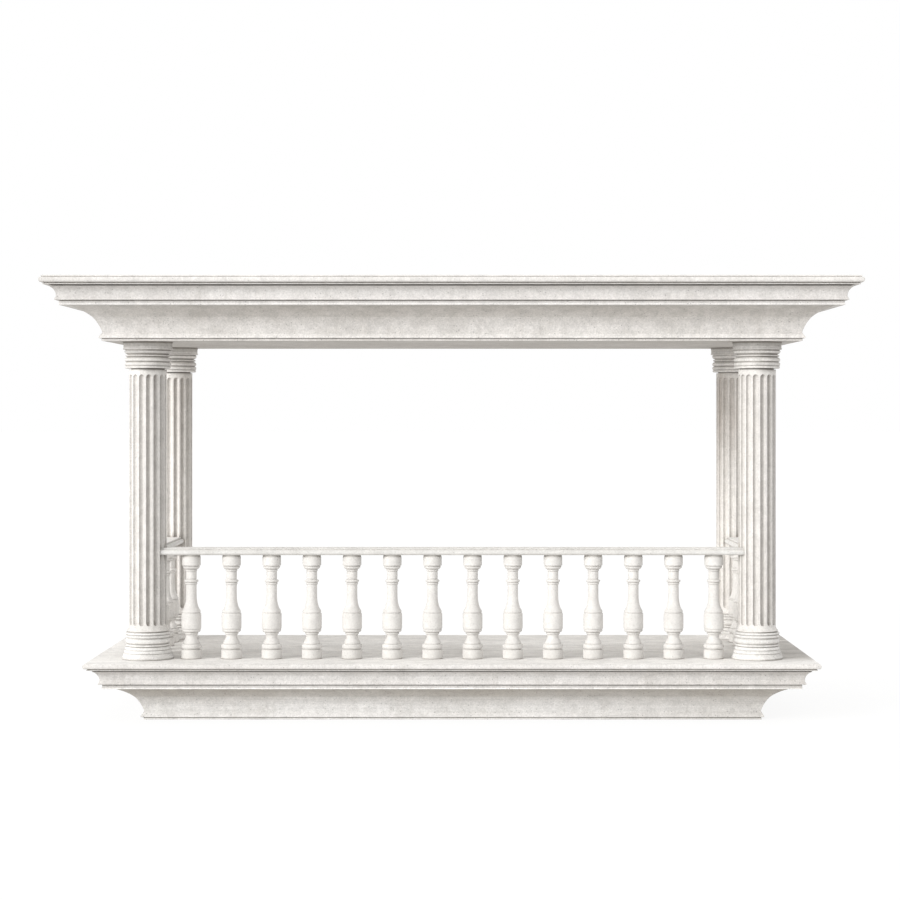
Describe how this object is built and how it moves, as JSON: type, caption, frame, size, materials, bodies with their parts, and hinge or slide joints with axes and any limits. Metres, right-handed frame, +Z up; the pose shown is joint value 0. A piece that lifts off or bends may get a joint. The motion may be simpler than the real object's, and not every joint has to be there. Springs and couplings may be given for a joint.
{
  "type": "stone balcony bay with balustrade",
  "caption": "Classical stone balcony bay: moulded floor slab, fluted columns, turned balusters under a handrail on three sides, moulded roof slab, open flat back.",
  "frame": {"origin": "middle of the floor slab's underside, in the middle of the overall width and depth", "axes": "+Z up, +X to the right along the front, -Y out of the front, +Y towards the wall"},
  "size_m": [7.1402, 2.9791, 3.948],
  "materials": {
    "floor_stone": "honed off-white limestone, fine grain, faint vertical staining",
    "roof_stone": "honed off-white limestone, fine grain, faint vertical staining",
    "column_stone": "honed off-white limestone, fine grain",
    "rail_stone": "honed off-white limestone, fine grain",
    "baluster_stone": "smooth off-white limestone"
  },
  "bodies": {
    "root": {"floor_nosing_slab": "floor_stone", "floor_fascia_course": "floor_stone", "floor_cavetto_course": "floor_stone", "roof_nosing_slab": "roof_stone", "roof_fascia_course": "roof_stone", "roof_cavetto_course": "roof_stone", "front_left_column_base": "column_stone", "front_left_column_shaft": "column_stone", "front_left_column_capital": "column_stone", "front_right_column_base": "column_stone", "front_right_column_shaft": "column_stone", "front_right_column_capital": "column_stone", "back_left_column_base": "column_stone", "back_left_column_shaft": "column_stone", "back_left_column_capital": "column_stone", "back_right_column_base": "column_stone", "back_right_column_shaft": "column_stone", "back_right_column_capital": "column_stone", "front_handrail": "rail_stone", "left_handrail": "rail_stone", "right_handrail": "rail_stone", "front_baluster_01": "baluster_stone", "front_baluster_02": "baluster_stone", "front_baluster_03": "baluster_stone", "front_baluster_04": "baluster_stone", "front_baluster_05": "baluster_stone", "front_baluster_06": "baluster_stone", "front_baluster_07": "baluster_stone", "front_baluster_08": "baluster_stone", "front_baluster_09": "baluster_stone", "front_baluster_10": "baluster_stone", "front_baluster_11": "baluster_stone", "front_baluster_12": "baluster_stone", "front_baluster_13": "baluster_stone", "front_baluster_14": "baluster_stone", "left_baluster_01": "baluster_stone", "left_baluster_02": "baluster_stone", "left_baluster_03": "baluster_stone", "left_baluster_04": "baluster_stone", "right_baluster_01": "baluster_stone", "right_baluster_02": "baluster_stone", "right_baluster_03": "baluster_stone", "right_baluster_04": "baluster_stone"}
  },
  "joints": []
}
